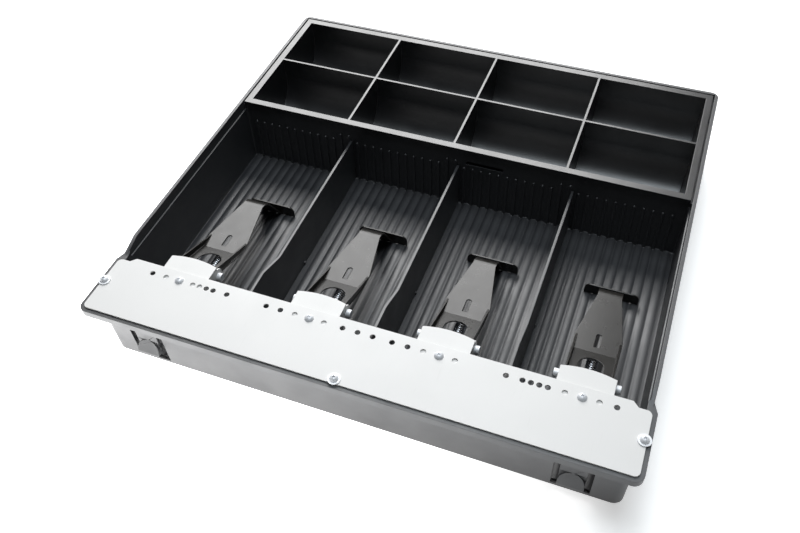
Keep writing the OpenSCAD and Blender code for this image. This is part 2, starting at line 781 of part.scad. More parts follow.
module bill_clip(x) {
    color(black) translate([x, y_pin, z_pin]) {
        intersection() {
            side_view(shoulder_w) strip(arm_path, clip_t);
            translate([0, 0, z_foot - cut]) linear_extrude(boss_r - z_foot + 2 * cut) difference() {
                clip_plan();
                clip_cuts();
            }
        }
        for (side = [-1, 1])
            translate([side * (clip_hinge_w - clip_t) / 2, 0, 0]) side_view(clip_t) clip_flange();
        front_view(foot_reach - clip_t, clip_t) translate([0, z_foot]) foot_outline();
        clip_tongue();
    }
}

// Points of a spring's wire along +X from the leg's hole: straight end, coil, straight end.
// The wire leaves the axis, and comes back to it, over half a turn.
function spring_points() =
    let (
        coil_end = spring_span - spring_lead,
        coil_start = coil_end - (curls + 1) * curl_pitch,
        last = (curls + 1) * curl_rings
    ) concat(
        [[-wire_end, 0, 0], [coil_start / 2, 0, 0]],
        [for (i = [0 : last])
            let (
                r = coil_r * min(1, i / half_turn, (last - i) / half_turn),
                a = 360 * i / curl_rings
            ) [coil_start + curl_pitch * i / curl_rings, r * cos(a), r * sin(a)]],
        [[spring_span, 0, 0], [spring_span + wire_end, 0, 0]]
    );

function unit(v) = v / norm(v);
function tangent(p, i) = unit(p[min(i + 1, len(p) - 1)] - p[max(i - 1, 0)]);
function square_to(n, t) = unit(n - (n * t) * t);
function normals(p, i, n) =
    i == len(p) ? [] : let (m = square_to(n, tangent(p, i))) concat([m], normals(p, i + 1, m));

// Least gap of the wire to itself, between points over half a turn apart
function self_gap(p) = min([
    for (i = [0 : len(p) - 1], j = [i + half_turn + 1 : 1 : len(p) - 1]) norm(p[i] - p[j])
]) - wire_d;

// Tube along points, closed at both ends
module tube(p, d, sides) {
    n = normals(p, 0, [0, 0, 1]);
    last = (len(p) - 1) * sides;
    polyhedron(
        points = [
            for (i = [0 : len(p) - 1], s = [0 : sides - 1])
                let (t = tangent(p, i), a = 360 * s / sides)
                p[i] + d / 2 * (cos(a) * n[i] + sin(a) * cross(t, n[i]))
        ],
        faces = concat(
            [for (i = [0 : len(p) - 2], s = [0 : sides - 1])
                let (a = i * sides + s, b = i * sides + (s + 1) % sides) each [
                    [a, b + sides, b], [a, a + sides, b + sides]
                ]],
            [for (s = [1 : sides - 2]) [0, s, s + 1]],
            [for (s = [1 : sides - 2]) [last, last + s + 1, last + s]]
        )
    );
}

module clip_spring(x) {
    points = spring_points();
    echo(spring_self_gap = self_gap(points));
    color(steel) translate([x, leg_hole.x, leg_hole.y]) rotate([0, 0, 90]) rotate([0, -spring_angle, 0])
        tube(points, wire_d, wire_sides);
}

// Pan head screw with a cross recess, its head's underside at the origin
module screw(head_d) {
    dome_r = (pow(head_d / 2, 2) + pow(head_h, 2)) / (2 * head_h);
    difference() {
        union() {
            intersection() {
                translate([0, 0, head_h - dome_r]) sphere(dome_r);
                cylinder(d = head_d, h = head_h);
            }
            translate([0, 0, -shank_l]) cylinder(d = screw_d, h = shank_l + sink);
        }
        for (a = [0, 90]) rotate(a)
            translate([-recess_l / 2, -recess_w / 2, head_h - recess_depth])
                cube([recess_l, recess_w, recess_depth + cut]);
    }
}

module bracket_screws() {
    color(steel) for (x = clip_x)
        translate([x, y_row, z_plate]) rotate(bracket_screw_turn) screw(bracket_head_d);
}

module plate_screws() {
    color(steel) for (p = plate_screw_xy)
        translate([p.x, p.y, z_plate + washer_t]) rotate(plate_screw_turn) screw(plate_head_d);
}

module plate_washers() {
    color(steel) for (p = plate_screw_xy) translate([p.x, p.y, z_plate]) difference() {
        cylinder(d = washer_d, h = washer_t);
        translate([0, 0, -cut]) cylinder(d = screw_d + 2 * hole_play, h = washer_t + 2 * cut);
    }
}

// Tongue in the front wall that bends at its upper end, with a ramped hook at its lower end
module snap_tongue(x) {
    y0 = y_wall_bottom;
    lean = front_draft / z_flange;
    z_top = snap_h - snap_seam;
    z_arch = snap_ramp_h - snap_w / 2;
    y_core = y0 + wall_t / 2;
    color(black) translate([x, 0, 0]) {
        side_view(snap_w) polygon([
            [y0 - lean * z_top, z_top], [y0 - lean * snap_low, snap_low],
            [y0 + wall_t - lean * snap_low, snap_low],
            [y0 + wall_t - lean * z_top, z_top - wall_t * tan(snap_relief)]
        ]);
        intersection() {
            side_view(snap_w) polygon([
                [y0 - lean * snap_ramp_h, snap_ramp_h], [y0 - snap_hook, snap_flat_h],
                [y0 - snap_hook, snap_low], [y_core, snap_low], [y_core, snap_ramp_h]
            ]);
            front_view(y0 - snap_hook - cut, snap_hook + wall_t + cut) {
                translate([0, z_arch]) circle(d = snap_w);
                translate([-snap_w / 2, -cut]) square([snap_w, z_arch + cut]);
            }
        }
    }
}

tray_body();
coin_tray();
divider(divider_x[0]);  // divider_left
divider(divider_x[1]);  // divider_centre
divider(divider_x[2]);  // divider_right
cover_plate();
clip_bracket(clip_x[0]);  // clip_bracket_1
clip_bracket(clip_x[1]);  // clip_bracket_2
clip_bracket(clip_x[2]);  // clip_bracket_3
clip_bracket(clip_x[3]);  // clip_bracket_4
hinge_pin(clip_x[0]);  // hinge_pin_1
hinge_pin(clip_x[1]);  // hinge_pin_2
hinge_pin(clip_x[2]);  // hinge_pin_3
hinge_pin(clip_x[3]);  // hinge_pin_4
bill_clip(clip_x[0]);  // bill_clip_1
bill_clip(clip_x[1]);  // bill_clip_2
bill_clip(clip_x[2]);  // bill_clip_3
bill_clip(clip_x[3]);  // bill_clip_4
clip_spring(clip_x[0]);  // clip_spring_1
clip_spring(clip_x[1]);  // clip_spring_2
clip_spring(clip_x[2]);  // clip_spring_3
clip_spring(clip_x[3]);  // clip_spring_4
bracket_screws();
plate_screws();
plate_washers();
snap_tongue(-snap_x);  // snap_tongue_left
snap_tongue(snap_x);  // snap_tongue_right
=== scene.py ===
"""Looks of a cash drawer insert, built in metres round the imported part."""
import json
import logging
import math
from contextlib import contextmanager
from dataclasses import dataclass, field
from enum import Enum
from typing import Callable, Iterator

import bmesh
import bpy
from mathutils import Matrix, Vector

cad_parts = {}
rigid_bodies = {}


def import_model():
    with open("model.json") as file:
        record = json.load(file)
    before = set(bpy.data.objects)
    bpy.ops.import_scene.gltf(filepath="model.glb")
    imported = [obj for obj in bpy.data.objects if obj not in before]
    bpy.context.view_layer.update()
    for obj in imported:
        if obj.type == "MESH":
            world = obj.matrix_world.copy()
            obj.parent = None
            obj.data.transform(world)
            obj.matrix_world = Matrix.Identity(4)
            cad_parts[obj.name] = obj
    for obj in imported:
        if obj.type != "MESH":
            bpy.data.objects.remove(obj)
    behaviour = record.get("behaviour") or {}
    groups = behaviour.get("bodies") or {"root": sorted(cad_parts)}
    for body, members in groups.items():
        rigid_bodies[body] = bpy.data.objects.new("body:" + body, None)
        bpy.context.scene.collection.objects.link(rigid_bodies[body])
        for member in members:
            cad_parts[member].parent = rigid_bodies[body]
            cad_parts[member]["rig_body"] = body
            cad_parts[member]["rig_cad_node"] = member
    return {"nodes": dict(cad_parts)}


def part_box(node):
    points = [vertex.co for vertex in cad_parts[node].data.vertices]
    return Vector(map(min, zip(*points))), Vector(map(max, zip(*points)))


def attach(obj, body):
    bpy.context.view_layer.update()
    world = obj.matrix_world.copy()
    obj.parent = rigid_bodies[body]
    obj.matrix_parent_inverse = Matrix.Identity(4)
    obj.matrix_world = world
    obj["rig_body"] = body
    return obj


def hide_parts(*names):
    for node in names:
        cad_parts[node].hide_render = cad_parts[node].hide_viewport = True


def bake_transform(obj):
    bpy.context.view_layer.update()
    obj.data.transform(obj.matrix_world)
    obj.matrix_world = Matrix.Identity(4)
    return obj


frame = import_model()

LOG = logging.getLogger("cash_drawer_insert")
MM = 0.001
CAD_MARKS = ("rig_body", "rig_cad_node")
# The places of the four bill clips across the tray.
CLIP_X = (-134.5 * MM, -36.6 * MM, 53.0 * MM, 143.7 * MM)
# A face looks along an axis if its normal's part along that axis is larger than this.
FACING = 0.9
# Faces that turn by less than this, in degrees, count as one.
FLAT_TURN = 0.4
Colour = tuple[float, float, float]
Point = tuple[float, float, float]
Pair = tuple[float, float]


class Slot(Enum):
    """The record's material slots."""

    PLASTIC = "black_plastic"
    WHITE = "white_paint"
    BLACK = "black_paint"
    ZINC = "bright_steel"
    SPRING = "spring_steel"


class Look(Enum):
    """The finishes, by name. Both plastics fill one slot. The polished plastic's colour is
    painted darker, as painted shade in the coin cups.
    """

    SATIN = "satin_black_plastic"
    POLISHED = "polished_black_plastic_painted_shade"
    WHITE = "white_powder_coat"
    BLACK = "semi_gloss_black_paint"
    ZINC = "bright_zinc"
    SPRING = "polished_spring_wire"


class Effect(Enum):
    """Node groups that several finishes share."""

    GRAIN = "fine_grain"
    SCUFFS = "handling_scuffs"
    DUST = "settled_dust"


class NodeBoard:
    """Adds nodes to one tree and joins them."""

    def __init__(self, tree: bpy.types.NodeTree) -> None:
        """Clears the tree and keeps it.

        Args:
            tree: The tree of a material, a world or a node group.
        """
        tree.nodes.clear()
        self.tree = tree

    def add(self, kind: str, inputs: dict | None = None, **settings: object) -> bpy.types.Node:
        """Adds a node.

        Args:
            kind: Blender's node type.
            inputs: Values, or sockets to join from, by input name or number.
            settings: Properties of the node, which are set before its inputs.

        Returns:
            The new node.
        """
        node = self.tree.nodes.new(kind)
        for key, value in settings.items():
            setattr(node, key, value)
        for key, value in (inputs or {}).items():
            if isinstance(value, bpy.types.NodeSocket):
                self.tree.links.new(value, node.inputs[key])
            else:
                node.inputs[key].default_value = value
        return node

    def math(self, operation: str, a: object, b: object = 0.0) -> bpy.types.NodeSocket:
        """Adds a math node whose result is held between 0 and 1.

        Args:
            operation: Blender's name of the operation.
            a: The first value or socket.
            b: The second value or socket.

        Returns:
            The result's socket.
        """
        node = self.add("ShaderNodeMath", {0: a, 1: b}, operation=operation, use_clamp=True)
        return node.outputs[0]

    def spread(self, value: bpy.types.NodeSocket, low: float, high: float,
               to_low: float = 0.0, to_high: float = 1.0) -> bpy.types.NodeSocket:
        """Maps a value from one range to another.

        Args:
            value: The value's socket.
            low: Where the first range starts.
            high: Where the first range ends.
            to_low: Where the second range starts.
            to_high: Where the second range ends.

        Returns:
            The mapped value's socket.
        """
        ends = {"Value": value, "From Min": low, "From Max": high,
                "To Min": to_low, "To Max": to_high}
        return self.add("ShaderNodeMapRange", ends).outputs["Result"]


class EffectShelf:
    """Builds each shared node group once.

    Angles are in radians. A pair is the range over which a mask fades in.
    """

    scuff_turns: Pair = (0.5, 2.2)
    scuff_tilt: float = 0.3
    scuff_stretch: Point = (1.0, 0.06, 1.0)
    scuff_fade: Pair = (0.66, 0.74)
    speck_fade: Pair = (0.16, 0.06)
    bare_share: float = 0.86
    upward_fade: Pair = (0.6, 0.95)

    def __init__(self) -> None:
        """Builds all the groups."""
        self.groups = {
            Effect.GRAIN: self._grain(),
            Effect.SCUFFS: self._scuffs(),
            Effect.DUST: self._dust(),
        }

    @staticmethod
    def _new(effect: Effect, inputs: tuple[str, ...], outputs: tuple[str, ...]) -> NodeBoard:
        """Makes an empty group with a Vector input and number sockets.

        Args:
            effect: The effect that the group is for.
            inputs: Names of the inputs after the Vector.
            outputs: Names of the outputs.

        Returns:
            A board on the group's tree.
        """
        tree = bpy.data.node_groups.new(effect.value, "ShaderNodeTree")
        tree.interface.new_socket("Vector", in_out="INPUT", socket_type="NodeSocketVector")
        for name in inputs:
            tree.interface.new_socket(name, in_out="INPUT", socket_type="NodeSocketFloat")
        for name in outputs:
            tree.interface.new_socket(name, in_out="OUTPUT", socket_type="NodeSocketFloat")
        return NodeBoard(tree)

    def _grain(self) -> bpy.types.NodeTree:
        """Builds fine grain with slow clouds: Height for bump, Cloud for gloss."""
        board = self._new(Effect.GRAIN, ("Grain", "Cloud"), ("Height", "Cloud"))
        start = board.add("NodeGroupInput").outputs
        fine = board.add("ShaderNodeTexNoise", {
            "Vector": start["Vector"], "Scale": start["Grain"], "Detail": 3.0, "Roughness": 0.6})
        slow = board.add("ShaderNodeTexNoise", {
            "Vector": start["Vector"], "Scale": start["Cloud"], "Detail": 4.0, "Roughness": 0.55})
        board.add("NodeGroupOutput", {"Height": fine.outputs[0], "Cloud": slow.outputs[0]})
        return board.tree

    def _scuffs(self) -> bpy.types.NodeTree:
        """Builds short fine scuffs in two directions."""
        board = self._new(Effect.SCUFFS, ("Scale", "Amount"), ("Mask",))
        start = board.add("NodeGroupInput").outputs
        masks = []
        for turn in self.scuff_turns:
            lay = board.add("ShaderNodeMapping", {
                "Vector": start["Vector"], "Rotation": (self.scuff_tilt, turn, turn),
                "Scale": self.scuff_stretch})
            lines = board.add("ShaderNodeTexNoise", {
                "Vector": lay.outputs[0], "Scale": start["Scale"], "Detail": 2.0})
            masks.append(board.spread(lines.outputs[0], *self.scuff_fade))
        both = board.math("MAXIMUM", *masks)
        board.add("NodeGroupOutput", {"Mask": board.math("MULTIPLY", both, start["Amount"])})
        return board.tree

    def _dust(self) -> bpy.types.NodeTree:
        """Builds specks of dust on faces that look up."""
        board = self._new(Effect.DUST, ("Scale", "Amount"), ("Mask",))
        start = board.add("NodeGroupInput").outputs
        specks = board.add("ShaderNodeTexVoronoi", {
            "Vector": start["Vector"], "Scale": start["Scale"]}).outputs
        round_spots = board.spread(specks["Distance"], *self.speck_fade)
        chance = board.add("ShaderNodeSeparateColor", {0: specks["Color"]})
        chosen = board.math("GREATER_THAN", chance.outputs[0], self.bare_share)
        normal = board.add("ShaderNodeNewGeometry").outputs["Normal"]
        facing = board.add("ShaderNodeSeparateXYZ", {0: normal})
        upward = board.spread(facing.outputs["Z"], *self.upward_fade)
        spots = board.math("MULTIPLY", board.math("MULTIPLY", round_spots, chosen), upward)
        board.add("NodeGroupOutput", {"Mask": board.math("MULTIPLY", spots, start["Amount"])})
        return board.tree


@dataclass(frozen=True)
class Finish:
    """A surface finish: its colour, gloss, fine relief and marks.

    The grain's width, its relief and the clouds' width are in metres. Scales are patterns to
    a metre. Gloss is the roughness from one end of the clouds' range to the other.
    """

    look: Look
    slot: Slot
    colour: Colour
    worn_colour: Colour
    gloss: Pair
    grain: float
    relief: float
    cloud: float
    metallic: float = 0.0
    scuffs: float = 0.3
    dust: float = 0.0
    coat: float = 0.0
    specular: float = 0.5
    scuff_scale: float = 900.0
    dust_scale: float = 160.0
    cloud_range: Pair = (0.3, 0.7)
    mark_roughness: float = 0.15
    coat_roughness: float = 0.12

    def material(self, shelf: EffectShelf) -> bpy.types.Material:
        """Builds the finish's material.

        Args:
            shelf: The shared node groups.

        Returns:
            The material, ready to put on a piece.
        """
        made = bpy.data.materials.new(self.look.value)
        made.use_nodes = True
        board = NodeBoard(made.node_tree)
        place = board.add("ShaderNodeTexCoord").outputs["Object"]
        settings = {
            Effect.GRAIN: {"Grain": 1 / self.grain, "Cloud": 1 / self.cloud},
            Effect.SCUFFS: {"Scale": self.scuff_scale, "Amount": self.scuffs},
            Effect.DUST: {"Scale": self.dust_scale, "Amount": self.dust},
        }
        grain, scuffs, dust = (
            board.add("ShaderNodeGroup", {"Vector": place, **values},
                      node_tree=shelf.groups[effect]).outputs
            for effect, values in settings.items())
        marks = board.math("ADD", scuffs["Mask"], dust["Mask"])
        tint = board.add("ShaderNodeMix", {
            "Factor": marks, "A": (*self.colour, 1.0), "B": (*self.worn_colour, 1.0)},
            data_type="RGBA")
        satin = board.spread(grain["Cloud"], *self.cloud_range, *self.gloss)
        rough = board.math("ADD", satin, board.math("MULTIPLY", marks, self.mark_roughness))
        bump = board.add("ShaderNodeBump", {
            "Strength": 1.0, "Distance": self.relief, "Height": grain["Height"]})
        shader = board.add("ShaderNodeBsdfPrincipled", {
            "Base Color": tint.outputs["Result"], "Roughness": rough, "Metallic": self.metallic,
            "Specular IOR Level": self.specular, "Coat Weight": self.coat,
            "Coat Roughness": self.coat_roughness, "Normal": bump.outputs["Normal"]})
        board.add("ShaderNodeOutputMaterial", {"Surface": shader.outputs["BSDF"]})
        return made


class Finishes:
    """The finishes of this insert, each built once."""

    def __init__(self) -> None:
        """Builds the shared groups and the materials."""
        shelf = EffectShelf()
        listed = (
            Finish(Look.SATIN, Slot.PLASTIC,
                   colour=(0.018, 0.0188, 0.0215), worn_colour=(0.07, 0.07, 0.07),
                   gloss=(0.44, 0.54), grain=0.45 * MM, relief=0.012 * MM, cloud=22 * MM,
                   scuffs=0.12, dust=0.25, specular=1.0),
            # The polished plastic is glossier, and its colour is painted darker than the satin
            # one, as painted shade in the deep coin cups.
            Finish(Look.POLISHED, Slot.PLASTIC,
                   colour=(0.005, 0.0052, 0.006), worn_colour=(0.05, 0.05, 0.05),
                   gloss=(0.3, 0.38), grain=0.45 * MM, relief=0.008 * MM, cloud=22 * MM,
                   scuffs=0.1, dust=0.15, specular=0.9),
            Finish(Look.WHITE, Slot.WHITE,
                   colour=(0.66, 0.65, 0.635), worn_colour=(0.55, 0.54, 0.52),
                   gloss=(0.36, 0.5), grain=0.7 * MM, relief=0.02 * MM, cloud=30 * MM,
                   scuffs=0.15, dust=0.05),
            Finish(Look.BLACK, Slot.BLACK,
                   colour=(0.011, 0.01, 0.0085), worn_colour=(0.08, 0.078, 0.07),
                   gloss=(0.26, 0.34), grain=0.6 * MM, relief=0.01 * MM, cloud=12 * MM,
                   scuffs=0.1, dust=0.4, coat=0.1, specular=0.4),
            Finish(Look.ZINC, Slot.ZINC,
                   colour=(0.74, 0.75, 0.77), worn_colour=(0.5, 0.5, 0.5),
                   gloss=(0.4, 0.5), grain=0.25 * MM, relief=0.006 * MM, cloud=3 * MM,
                   metallic=0.25, scuffs=0.25),
            Finish(Look.SPRING, Slot.SPRING,
                   colour=(0.72, 0.73, 0.76), worn_colour=(0.4, 0.4, 0.4),
                   gloss=(0.16, 0.28), grain=0.2 * MM, relief=0.004 * MM, cloud=2 * MM,
                   metallic=1.0, scuffs=0.2),
        )
        self.by_look = {finish.look: (finish.material(shelf), finish.slot) for finish in listed}

    def dress(self, piece: bpy.types.Object, look: Look) -> None:
        """Gives a piece one finish, and no other.

        Args:
            piece: The piece.
            look: The finish's name.
        """
        material, slot = self.by_look[look]
        piece.data.materials.clear()
        piece.data.materials.append(material)


def make_active(piece: bpy.types.Object) -> None:
    """Selects one object, and only it."""
    bpy.ops.object.select_all(action="DESELECT")
    piece.select_set(True)
    bpy.context.view_layer.objects.active = piece


def just_added(name: str) -> bpy.types.Object:
    """Names the object that an operator has just added.

    Args:
        name: The name for the object and its data.

    Returns:
        The object, which is the active one.
    """
    piece = bpy.context.active_object
    piece.name = piece.data.name = name
    return piece


@contextmanager
def edit_mode(piece: bpy.types.Object, action: str = "SELECT") -> Iterator[None]:
    """Opens a piece in edit mode, and closes it again.

    Args:
        piece: The piece.
        action: SELECT to start with all of its mesh selected, DESELECT with none of it.
    """
    make_active(piece)
    bpy.ops.object.mode_set(mode="EDIT")
    bpy.ops.mesh.select_mode(type="FACE")
    bpy.ops.mesh.select_all(action=action)
    yield
    bpy.ops.object.mode_set(mode="OBJECT")


def pick_faces(piece: bpy.types.Object, test: Callable[[bmesh.types.BMFace], bool]) -> None:
    """Selects the faces that pass a test, in edit mode, and no others.

    Args:
        piece: The piece in edit mode.
        test: Says of a face whether it is wanted.
    """
    bpy.ops.mesh.select_all(action="DESELECT")
    mesh = bmesh.from_edit_mesh(piece.data)
    for face in mesh.faces:
        if test(face):
            face.select_set(True)
    bmesh.update_edit_mesh(piece.data)


def push(offset: Point) -> None:
    """Extrudes the selected faces by an offset."""
    bpy.ops.mesh.extrude_region_move(TRANSFORM_OT_translate={"value": offset})


def settle(piece: bpy.types.Object) -> None:
    """Puts a piece's place into its mesh, so that the object sits at the origin."""
    make_active(piece)
    bpy.ops.object.transform_apply(location=True, rotation=True, scale=True)


def apply_all(piece: bpy.types.Object) -> None:
    """Applies a piece's modifiers in order, and leaves the piece active."""
    make_active(piece)
    for modifier in list(piece.modifiers):
        bpy.ops.object.modifier_apply(modifier=modifier.name)


def round_edges(piece: bpy.types.Object, radius: float, steps: int = 2,
                angle: float = 40.0, smooth: float = 35.0) -> None:
    """Rounds the sharp edges of a piece and shades it. The angles suit a turned piece.

    Args:
        piece: The piece, merged and closed.
        radius: How far the rounding reaches from an edge, in metres.
        steps: Faces across one rounding.
        angle: Edges that turn by more than this, in degrees, are rounded.
        smooth: Edges that turn by less than this, in degrees, are shaded smooth.
    """
    bevel = piece.modifiers.new("round", "BEVEL")
    bevel.width, bevel.segments = radius, steps
    bevel.limit_method, bevel.angle_limit = "ANGLE", math.radians(angle)
    bevel.use_clamp_overlap = False
    apply_all(piece)
    bpy.ops.object.shade_smooth_by_angle(angle=math.radians(smooth))
    weigh = piece.modifiers.new("weigh", "WEIGHTED_NORMAL")
    weigh.keep_sharp = True
    apply_all(piece)


def merged_copy(node: str, name: str, weld: float) -> bpy.types.Object:
    """Copies a CAD node as a closed mesh of whole faces.

    Args:
        node: The CAD node's name.
        name: The new piece's name.
        weld: Points closer than this, in metres, become one.

    Returns:
        The copy, which rides on nothing yet.
    """
    make_active(frame["nodes"][node])
    bpy.ops.object.duplicate()
    copy = just_added(name)
    bpy.ops.object.parent_clear(type="CLEAR_KEEP_TRANSFORM")
    for mark in CAD_MARKS:
        del copy[mark]
    bpy.ops.mesh.customdata_custom_splitnormals_clear()
    with edit_mode(copy):
        bpy.ops.mesh.mark_sharp(clear=True)
        bpy.ops.mesh.remove_doubles(threshold=weld)
        bpy.ops.mesh.dissolve_degenerate(threshold=weld)
        bpy.ops.mesh.dissolve_limited(angle_limit=math.radians(FLAT_TURN))
    return copy


def seat(piece: bpy.types.Object, body: str, *nodes: str) -> None:
    """Makes a piece ride on a body and stand for CAD nodes, and reports it.

    Args:
        piece: The piece.
        body: The body's name.
        nodes: Names of the CAD nodes that it stands for.
    """
    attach(piece, body)
    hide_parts(*nodes)
    LOG.info("%s rides on %s: %d faces", piece.name, body, len(piece.data.polygons))


@dataclass
class SheetOrMoulding:
    """A CAD node shown as a copy with rounded edges.

    Lengths are in metres, angles in degrees.
    """

    node: str
    body: str
    look: Look
    radius: float
    steps: int = 2
    angle: float = 32.0
    smooth: float = 30.0
    weld: float = 0.02 * MM

    def detail(self, piece: bpy.types.Object) -> None:
        """Adds forms before the edges are rounded. A plain piece has none.

        Args:
            piece: The merged copy.
        """

    def build(self, finishes: Finishes) -> bpy.types.Object:
        """Builds the piece, dresses it and seats it.

        Args:
            finishes: The finishes to dress it with.

        Returns:
            The finished piece.
        """
        piece = merged_copy(self.node, self.node + "_shown", self.weld)
        self.detail(piece)
        round_edges(piece, self.radius, self.steps, self.angle, self.smooth)
        finishes.dress(piece, self.look)
        seat(piece, self.body, self.node)
        return piece


@dataclass
class TrayBody(SheetOrMoulding):
    """The tray, whose partition ribs are rounded over at the top. Lengths are in metres."""

    rib_face: float = 48.9 * MM
    rib_tops: Pair = (43.2 * MM, 49.2 * MM)
    rib_arc: float = 1.2 * MM
    rib_round: float = 0.8 * MM
    rib_steps: int = 3
    slack: float = 0.06 * MM

    def _at_top(self, spot: Vector) -> bool:
        """Says whether a point lies on the front edge of a rib's top.

        Args:
            spot: The point.

        Returns:
            True if it does.
        """
        near = any(-self.rib_arc < spot.z - top < self.slack for top in self.rib_tops)
        return near and abs(spot.y - self.rib_face) < self.slack

    def detail(self, piece: bpy.types.Object) -> None:
        """Rounds the front edge of each rib's top.

        Args:
            piece: The merged copy.
        """
        with edit_mode(piece, "DESELECT"):
            bpy.ops.mesh.select_mode(type="EDGE")
            mesh = bmesh.from_edit_mesh(piece.data)
            tops = [edge for edge in mesh.edges
                    if all(self._at_top(vert.co) for vert in edge.verts)]
            for edge in tops:
                edge.select_set(True)
            bmesh.update_edit_mesh(piece.data)
            bpy.ops.mesh.bevel(offset=self.rib_round, segments=self.rib_steps,
                               affect="EDGES", clamp_overlap=True)
        LOG.info("%s: %d rib edges rounded", piece.name, len(tops))


@dataclass
class Mouldings:
    """The black mouldings: tray, coin tray, dividers and snap tongues. Lengths are in metres."""

    edge: float = 0.3 * MM
    tray_weld: float = 0.15 * MM
    coin_weld: float = 0.05 * MM
    dividers: tuple[str, ...] = ("left", "centre", "right")
    snaps: tuple[str, ...] = ("left", "right")

    def build(self, finishes: Finishes) -> None:
        """Builds every moulding.

        Args:
            finishes: The finishes to dress them with.
        """
        pieces = [
            TrayBody("tray_body", "tray", Look.SATIN, self.edge, weld=self.tray_weld),
            # The coin tray takes the darker polished plastic, whose colour holds painted shade
            # for its cups.
            SheetOrMoulding("coin_tray", "coin_tray", Look.POLISHED, self.edge,
                            weld=self.coin_weld),
        ]
        pieces += [SheetOrMoulding(f"divider_{side}", "tray", Look.SATIN, self.edge)
                   for side in self.dividers]
        pieces += [SheetOrMoulding(f"snap_tongue_{side}", f"snap_{side}", Look.SATIN, self.edge)
                   for side in self.snaps]
        for piece in pieces:
            piece.build(finishes)


@dataclass
class PressedSteel:
    """The pressed sheet pieces: cover plate, brackets and bill clips.

    Lengths are in metres, the angle in degrees.
    """

    plate_edge: float = 0.18 * MM
    bracket_edge: float = 0.4 * MM
    bracket_steps: int = 3
    clip_edge: float = 0.25 * MM
    clip_smooth: float = 14.0
    clip_weld: float = 0.05 * MM

    def build(self, finishes: Finishes) -> None:
        """Builds every pressed piece.

        Args:
            finishes: The finishes to dress them with.
        """
        SheetOrMoulding("cover_plate", "tray", Look.WHITE, self.plate_edge).build(finishes)
        for i in range(1, len(CLIP_X) + 1):
            SheetOrMoulding(f"clip_bracket_{i}", "tray", Look.WHITE, self.bracket_edge,
                            steps=self.bracket_steps).build(finishes)
            SheetOrMoulding(f"bill_clip_{i}", f"clip_{i}", Look.BLACK, self.clip_edge,
                            smooth=self.clip_smooth, weld=self.clip_weld).build(finishes)


@dataclass
class HingePin:
    """A pin with a head at each end, along X.

    Lengths are in metres. The rim round a head's dimple is a share of the head's radius.
    """

    node: str
    shank_r: float = 2.0 * MM
    head_l: float = 3.4 * MM
    dimple: float = 0.35 * MM
    rim: float = 0.4
    edge: float = 0.25 * MM
    sides: int = 40
    slack: float = 1e-5
    weld: float = 1e-6

    def _pick_end(self, pin: bpy.types.Object, end: float) -> None:
        """Selects the shank's flat face at one end.

        Args:
            pin: The pin in edit mode.
            end: The end's place along X.
        """
        pick_faces(pin, lambda f: abs(f.normal.x) > FACING
                   and abs(f.calc_center_median().x - end) < self.slack)

    def build(self, finishes: Finishes) -> bpy.types.Object:
        """Models the pin in the CAD pin's place.

        Args:
            finishes: The finishes to dress it with.

        Returns:
            The finished pin.
        """
        low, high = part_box(self.node)
        middle, head_r = (low + high) / 2, (high.z - low.z) / 2
        half = (high.x - low.x) / 2 - self.head_l
        bpy.ops.mesh.primitive_cylinder_add(vertices=self.sides, radius=self.shank_r,
                                            depth=2 * half, location=middle,
                                            rotation=(0, math.pi / 2, 0))
        pin = just_added(self.node + "_shown")
        settle(pin)
        grow = head_r / self.shank_r
        with edit_mode(pin, "DESELECT"):
            for side in (-1, 1):
                end = middle.x + side * half
                self._pick_end(pin, end)
                bpy.ops.mesh.extrude_region_move()
                bpy.ops.transform.resize(value=(1, grow, grow),
                                         center_override=(end, middle.y, middle.z))
                push((side * self.head_l, 0, 0))
                bpy.ops.mesh.inset(thickness=self.rim * head_r)
                bpy.ops.transform.translate(value=(-side * self.dimple, 0, 0))
            bpy.ops.mesh.select_all(action="SELECT")
            bpy.ops.mesh.remove_doubles(threshold=self.weld)
            bpy.ops.mesh.normals_make_consistent(inside=False)
        round_edges(pin, self.edge)
        finishes.dress(pin, Look.ZINC)
        seat(pin, "tray", self.node)
        return pin


